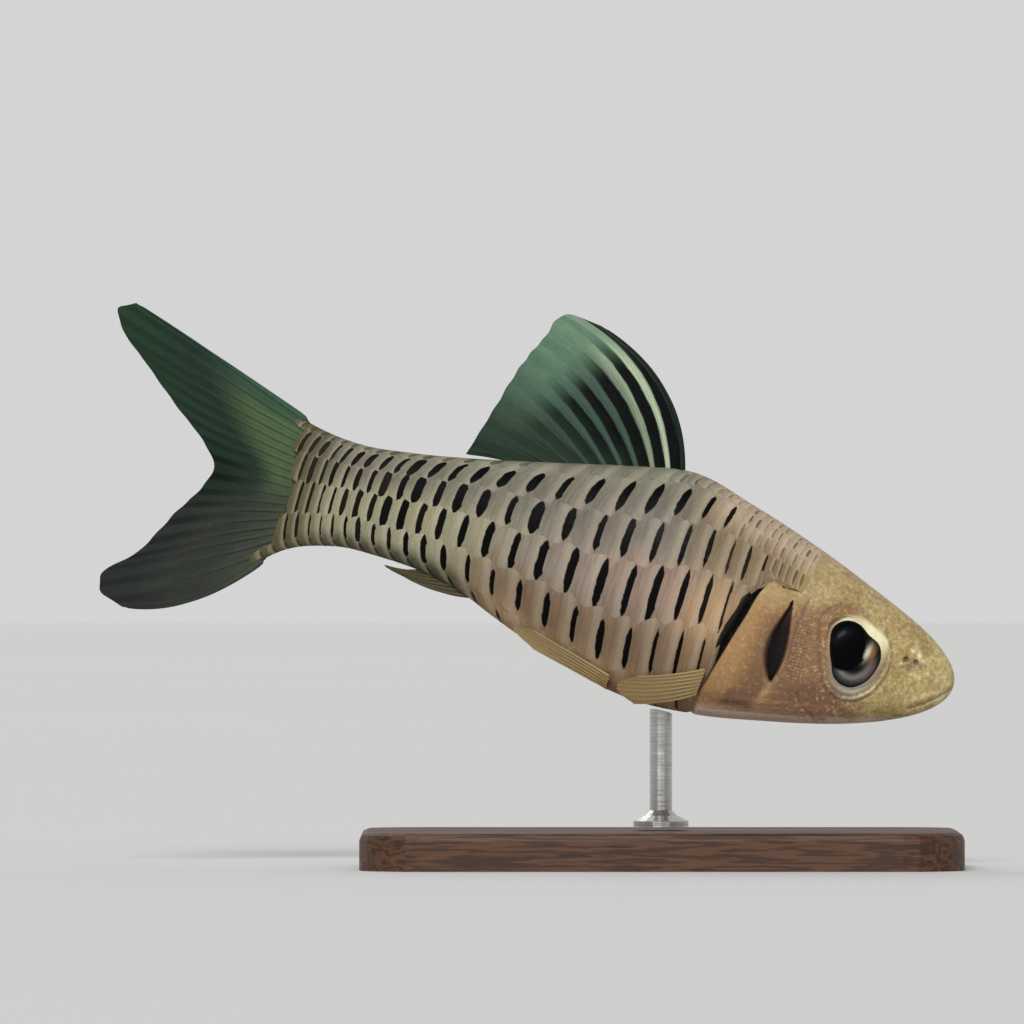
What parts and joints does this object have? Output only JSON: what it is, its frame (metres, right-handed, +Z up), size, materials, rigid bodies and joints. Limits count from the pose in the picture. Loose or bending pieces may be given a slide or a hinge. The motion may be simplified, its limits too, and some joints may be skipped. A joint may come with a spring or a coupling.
{
  "type": "oreichthys cosuatis fish model",
  "caption": "Still life-size small barb with a tall swept dorsal fin and a forked tail, held in a swimming pose by a rod on a flat display base.",
  "frame": {"origin": "middle of the display base's underside, under the fish's rod", "axes": "+X towards the fish's head, +Y towards its left side and the way its tail swings, +Z up"},
  "size_m": [0.0691, 0.03, 0.0453],
  "materials": {
    "head_skin": "satin, olive gold above and pinkish tan on the cheek",
    "gill_cover_skin": "satin, orange tan",
    "eye": "high gloss, black pupil in a pale gold ring",
    "scaled_flank": "silvery beige scales with black crescents",
    "green_fin": "translucent dark green membrane",
    "pale_fin": "translucent pale yellow membrane",
    "stand_wood": "dark oiled wood",
    "stand_steel": "brushed"
  },
  "bodies": {
    "root": {"head": "head_skin", "lower_jaw": "head_skin", "gill_cover_right": "gill_cover_skin", "gill_cover_left": "gill_cover_skin", "eye_right": "eye", "eye_left": "eye", "trunk": "scaled_flank", "tail_stalk": "scaled_flank", "dorsal_fin": "green_fin", "anal_fin": "green_fin", "tail_fin_upper": "green_fin", "tail_fin_lower": "green_fin", "pectoral_fin_right": "pale_fin", "pectoral_fin_left": "pale_fin", "pelvic_fin_right": "pale_fin", "pelvic_fin_left": "pale_fin", "stand_base": "stand_wood", "stand_rod": "stand_steel"}
  },
  "joints": []
}
